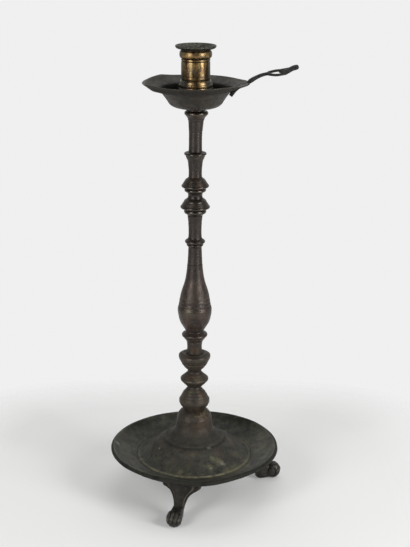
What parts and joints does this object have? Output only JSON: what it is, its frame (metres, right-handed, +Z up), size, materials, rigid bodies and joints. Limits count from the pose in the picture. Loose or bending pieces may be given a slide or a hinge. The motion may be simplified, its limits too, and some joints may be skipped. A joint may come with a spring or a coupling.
{
  "type": "candlestick",
  "caption": "Tall turned bronze candlestick on claw feet, with a wide dish below and a handled drip pan and brass socket that lift off the stem.",
  "frame": {"origin": "on the stem's axis, at the surface that the three feet stand on", "axes": "+Z up along the stem towards the candle, +X towards the handle, +Y away from the picture's camera"},
  "size_m": [0.1835, 0.178, 0.46],
  "materials": {
    "dish_bronze": "dark green-grey patina, worn",
    "foot_bronze": "dark brown patina, cast",
    "stem_bronze": "dark red-brown patina, turned",
    "iron": "rusty black",
    "pan_bronze": "dark green-brown patina",
    "skirt_bronze": "grey-green patina",
    "socket_brass": "worn golden brass with dark streaks",
    "handle_bronze": "dark patina"
  },
  "bodies": {
    "stand": {"base_dish": "dish_bronze", "right_foot": "foot_bronze", "left_foot": "foot_bronze", "front_foot": "foot_bronze", "foot_rivets": "dish_bronze", "base_bell": "stem_bronze", "lower_knop": "stem_bronze", "middle_knop": "stem_bronze", "cup_knop": "stem_bronze", "baluster": "stem_bronze", "lower_shaft": "stem_bronze", "double_knop": "stem_bronze", "upper_shaft": "stem_bronze", "tie_rod": "iron", "rod_washer": "iron", "rod_nut": "iron"},
    "spigot": {"pan_spigot": "pan_bronze"},
    "chamberstick": {"pan": "pan_bronze", "socket_skirt": "skirt_bronze", "socket": "socket_brass", "handle": "handle_bronze", "handle_rivets": "handle_bronze"}
  },
  "joints": [
    {"name": "pan_lift", "type": "slide", "parent": "stand", "child": "spigot", "axis": [0, 0, 1], "range_m": [0, 0.04]},
    {"name": "pan_turn", "type": "hinge", "parent": "spigot", "child": "chamberstick", "pos_m": [0, 0, 0.4004], "axis": [0, 0, 1], "continuous": true}
  ]
}
